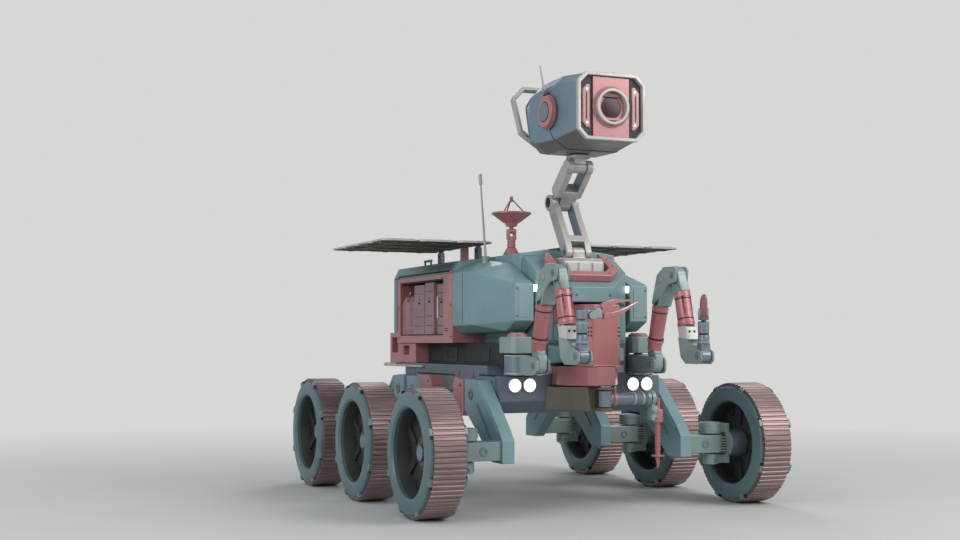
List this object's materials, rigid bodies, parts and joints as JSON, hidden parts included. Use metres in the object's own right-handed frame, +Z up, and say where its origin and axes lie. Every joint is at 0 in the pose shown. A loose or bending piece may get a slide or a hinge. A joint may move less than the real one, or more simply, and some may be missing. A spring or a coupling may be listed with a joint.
{
  "type": "planetary rover",
  "caption": "Planetary rover on steered, driven wheels with a camera head on a jointed mast, two gripper arms, a drill boom, dish, side cargo bays and fold-up solar wings.",
  "frame": {"origin": "on the ground, under the centre of the bounding box", "axes": "+Z up, -Y forward, +X to the rover's left"},
  "size_m": [1.912, 2.6604, 2.1666],
  "materials": {
    "hull_paint": "satin",
    "rose_paint": "satin",
    "chassis_paint": "matt",
    "nose_paint": "matt",
    "cargo_paint": "satin",
    "tray_metal": "satin",
    "lamp_glass": "clear",
    "mast_metal": "satin",
    "head_paint": "satin",
    "solar_panel": "satin",
    "arm_metal": "satin",
    "arm_rose": "satin",
    "arm_teal": "satin",
    "knuckle_paint": "satin",
    "wheel_metal": "satin"
  },
  "bodies": {
    "root": {"chassis": "chassis_paint", "nose_housing": "nose_paint", "centre_hull": "hull_paint", "side_pods": "hull_paint", "collar": "rose_paint", "chest": "rose_paint", "cargo_frames": "rose_paint", "cargo_load": "cargo_paint", "rear_box": "rose_paint", "rear_tray": "tray_metal", "suspension_arms": "hull_paint", "pivot_brackets": "rose_paint", "shoulder_caps": "hull_paint", "headlights": "lamp_glass", "whip_antenna": "mast_metal", "roof_fittings": "rose_paint", "mast_base": "mast_metal"},
    "mast_lower": {"mast_lower": "mast_metal"},
    "mast_upper": {"mast_upper": "mast_metal"},
    "neck": {"neck": "mast_metal"},
    "head": {"head_shell": "head_paint", "head_face": "mast_metal", "head_ears": "rose_paint", "head_rear_ring": "mast_metal"},
    "dish_mount": {"dish_mount": "rose_paint"},
    "dish": {"dish": "rose_paint"},
    "wing_left": {"wing_left": "solar_panel"},
    "wing_right": {"wing_right": "solar_panel"},
    "boom": {"boom": "arm_metal"},
    "drill": {"drill": "rose_paint"},
    "turret_left": {"turret_left": "arm_metal"},
    "upper_arm_left": {"upper_arm_left": "arm_rose"},
    "forearm_left": {"forearm_left": "arm_teal"},
    "hand_link_left": {"hand_link_left": "arm_metal"},
    "hand_swivel_left": {"hand_swivel_left": "arm_teal"},
    "palm_left": {"palm_left": "arm_teal"},
    "jaw_upper_left": {"jaw_upper_left": "arm_rose"},
    "jaw_lower_left": {"jaw_lower_left": "arm_rose"},
    "turret_right": {"turret_right": "arm_metal"},
    "upper_arm_right": {"upper_arm_right": "arm_rose"},
    "forearm_right": {"forearm_right": "arm_teal"},
    "hand_link_right": {"hand_link_right": "arm_metal"},
    "hand_swivel_right": {"hand_swivel_right": "arm_teal"},
    "palm_right": {"palm_right": "arm_teal"},
    "jaw_upper_right": {"jaw_upper_right": "arm_rose"},
    "jaw_lower_right": {"jaw_lower_right": "arm_rose"},
    "knuckle_front_left": {"knuckle_front_left": "knuckle_paint"},
    "wheel_front_left": {"wheel_front_left": "wheel_metal"},
    "knuckle_front_right": {"knuckle_front_right": "knuckle_paint"},
    "wheel_front_right": {"wheel_front_right": "wheel_metal"},
    "knuckle_middle_left": {"knuckle_middle_left": "knuckle_paint"},
    "wheel_middle_left": {"wheel_middle_left": "wheel_metal"},
    "knuckle_middle_right": {"knuckle_middle_right": "knuckle_paint"},
    "wheel_middle_right": {"wheel_middle_right": "wheel_metal"},
    "knuckle_rear_left": {"knuckle_rear_left": "knuckle_paint"},
    "wheel_rear_left": {"wheel_rear_left": "wheel_metal"},
    "knuckle_rear_right": {"knuckle_rear_right": "knuckle_paint"},
    "wheel_rear_right": {"wheel_rear_right": "wheel_metal"}
  },
  "joints": [
    {"name": "mast_lean", "type": "hinge", "parent": "root", "child": "mast_lower", "pos_m": [0, -0.44182, 1.248], "axis": [1, 0, 0], "range_deg": [-15, 30]},
    {"name": "mast_elbow", "type": "hinge", "parent": "mast_lower", "child": "mast_upper", "pos_m": [0, -0.27663, 1.51032], "axis": [1, 0, 0], "range_deg": [-30, 20]},
    {"name": "head_tilt", "type": "hinge", "parent": "mast_upper", "child": "neck", "pos_m": [0, -0.45647, 1.67225], "axis": [1, 0, 0], "range_deg": [-25, 25]},
    {"name": "head_pan", "type": "hinge", "parent": "neck", "child": "head", "pos_m": [0, -0.45647, 1.72925], "axis": [0, 0, -1], "range_deg": [-120, 120]},
    {"name": "dish_pan", "type": "hinge", "parent": "root", "child": "dish_mount", "pos_m": [-0.216, -0.13282, 1.287], "axis": [0, 0, 1], "range_deg": [-150, 150]},
    {"name": "dish_tilt", "type": "hinge", "parent": "dish_mount", "child": "dish", "pos_m": [-0.216, -0.13282, 1.372], "axis": [-1, 0, 0], "range_deg": [-10, 60]},
    {"name": "wing_fold_left", "type": "hinge", "parent": "root", "child": "wing_left", "pos_m": [0.262, 0.45118, 1.3], "axis": [0, -1, 0], "range_deg": [0, 75]},
    {"name": "wing_fold_right", "type": "hinge", "parent": "root", "child": "wing_right", "pos_m": [-0.262, 0.45118, 1.3], "axis": [0, 1, 0], "range_deg": [0, 75]},
    {"name": "boom_swing", "type": "hinge", "parent": "root", "child": "boom", "pos_m": [0, -0.72482, 0.536], "axis": [0, 0, 1], "range_deg": [-100, 0]},
    {"name": "tool_pitch", "type": "hinge", "parent": "boom", "child": "drill", "pos_m": [0.24, -0.72482, 0.536], "axis": [-1, 0, 0], "range_deg": [-45, 100]},
    {"name": "shoulder_yaw_left", "type": "hinge", "parent": "root", "child": "turret_left", "pos_m": [0.335, -0.45682, 0.75], "axis": [0, 0, 1], "range_deg": [-15, 40]},
    {"name": "shoulder_pitch_left", "type": "hinge", "parent": "turret_left", "child": "upper_arm_left", "pos_m": [0.315, -0.66282, 0.695], "axis": [1, 0, 0], "range_deg": [-15, 30]},
    {"name": "elbow_left", "type": "hinge", "parent": "upper_arm_left", "child": "forearm_left", "pos_m": [0.315, -0.87282, 1.122], "axis": [-1, 0, 0], "range_deg": [-15, 70]},
    {"name": "wrist_left", "type": "hinge", "parent": "forearm_left", "child": "hand_link_left", "pos_m": [0.315, -1.09082, 0.742], "axis": [1, 0, 0], "range_deg": [-10, 90]},
    {"name": "hand_roll_left", "type": "hinge", "parent": "hand_link_left", "child": "hand_swivel_left", "pos_m": [0.315, -1.09082, 0.925], "axis": [0, 0, 1], "range_deg": [-60, 75]},
    {"name": "hand_tilt_left", "type": "hinge", "parent": "hand_swivel_left", "child": "palm_left", "pos_m": [0.29168, -1.12813, 0.925], "axis": [-0.848, 0.5299, 0], "range_deg": [-65, 55]},
    {"name": "jaw_upper_left", "type": "hinge", "parent": "palm_left", "child": "jaw_upper_left", "pos_m": [0.26443, -1.17174, 0.965], "axis": [-0.848, 0.5299, 0], "range_deg": [0, 35]},
    {"name": "jaw_lower_left", "type": "hinge", "parent": "palm_left", "child": "jaw_lower_left", "pos_m": [0.25718, -1.18334, 0.92741], "axis": [-0.848, 0.5299, 0], "range_deg": [-35, 0]},
    {"name": "shoulder_yaw_right", "type": "hinge", "parent": "root", "child": "turret_right", "pos_m": [-0.335, -0.45682, 0.75], "axis": [0, 0, 1], "range_deg": [-40, 15]},
    {"name": "shoulder_pitch_right", "type": "hinge", "parent": "turret_right", "child": "upper_arm_right", "pos_m": [-0.315, -0.66282, 0.695], "axis": [1, 0, 0], "range_deg": [-15, 30]},
    {"name": "elbow_right", "type": "hinge", "parent": "upper_arm_right", "child": "forearm_right", "pos_m": [-0.315, -0.87282, 1.122], "axis": [-1, 0, 0], "range_deg": [-15, 70]},
    {"name": "wrist_right", "type": "hinge", "parent": "forearm_right", "child": "hand_link_right", "pos_m": [-0.315, -1.09082, 0.742], "axis": [1, 0, 0], "range_deg": [-10, 90]},
    {"name": "hand_roll_right", "type": "hinge", "parent": "hand_link_right", "child": "hand_swivel_right", "pos_m": [-0.315, -1.09082, 0.925], "axis": [0, 0, 1], "range_deg": [-150, 15]},
    {"name": "hand_tilt_right", "type": "hinge", "parent": "hand_swivel_right", "child": "palm_right", "pos_m": [-0.271, -1.09082, 0.925], "axis": [0, -1, 0], "range_deg": [-60, 60]},
    {"name": "jaw_upper_right", "type": "hinge", "parent": "palm_right", "child": "jaw_upper_right", "pos_m": [-0.21629, -1.09082, 0.96037], "axis": [0, -1, 0], "range_deg": [0, 35]},
    {"name": "jaw_lower_right", "type": "hinge", "parent": "palm_right", "child": "jaw_lower_right", "pos_m": [-0.20594, -1.09082, 0.92173], "axis": [0, -1, 0], "range_deg": [-35, 0]},
    {"name": "steer_front_left", "type": "hinge", "parent": "root", "child": "knuckle_front_left", "pos_m": [0.665, -0.59982, 0.3], "axis": [0, 0, 1], "range_deg": [-25, 25]},
    {"name": "steer_front_right", "type": "hinge", "parent": "root", "child": "knuckle_front_right", "pos_m": [-0.665, -0.59982, 0.3], "axis": [0, 0, 1], "range_deg": [-25, 25]},
    {"name": "steer_middle_left", "type": "hinge", "parent": "root", "child": "knuckle_middle_left", "pos_m": [0.665, 0.21518, 0.3], "axis": [0, 0, 1], "range_deg": [-25, 25]},
    {"name": "steer_middle_right", "type": "hinge", "parent": "root", "child": "knuckle_middle_right", "pos_m": [-0.665, 0.21518, 0.3], "axis": [0, 0, 1], "range_deg": [-25, 25]},
    {"name": "steer_rear_left", "type": "hinge", "parent": "root", "child": "knuckle_rear_left", "pos_m": [0.665, 1.03018, 0.3], "axis": [0, 0, 1], "range_deg": [-25, 25]},
    {"name": "steer_rear_right", "type": "hinge", "parent": "root", "child": "knuckle_rear_right", "pos_m": [-0.665, 1.03018, 0.3], "axis": [0, 0, 1], "range_deg": [-25, 25]},
    {"name": "spin_front_left", "type": "hinge", "parent": "knuckle_front_left", "child": "wheel_front_left", "pos_m": [0.861, -0.59982, 0.3], "axis": [1, 0, 0], "continuous": true},
    {"name": "spin_front_right", "type": "hinge", "parent": "knuckle_front_right", "child": "wheel_front_right", "pos_m": [-0.861, -0.59982, 0.3], "axis": [1, 0, 0], "continuous": true},
    {"name": "spin_middle_left", "type": "hinge", "parent": "knuckle_middle_left", "child": "wheel_middle_left", "pos_m": [0.861, 0.21518, 0.3], "axis": [1, 0, 0], "continuous": true},
    {"name": "spin_middle_right", "type": "hinge", "parent": "knuckle_middle_right", "child": "wheel_middle_right", "pos_m": [-0.861, 0.21518, 0.3], "axis": [1, 0, 0], "continuous": true},
    {"name": "spin_rear_left", "type": "hinge", "parent": "knuckle_rear_left", "child": "wheel_rear_left", "pos_m": [0.861, 1.03018, 0.3], "axis": [1, 0, 0], "continuous": true},
    {"name": "spin_rear_right", "type": "hinge", "parent": "knuckle_rear_right", "child": "wheel_rear_right", "pos_m": [-0.861, 1.03018, 0.3], "axis": [1, 0, 0], "continuous": true}
  ],
  "couplings": [
    {"joint": "jaw_lower_left", "follows": "jaw_upper_left", "ratio": -1},
    {"joint": "jaw_lower_right", "follows": "jaw_upper_right", "ratio": -1}
  ]
}
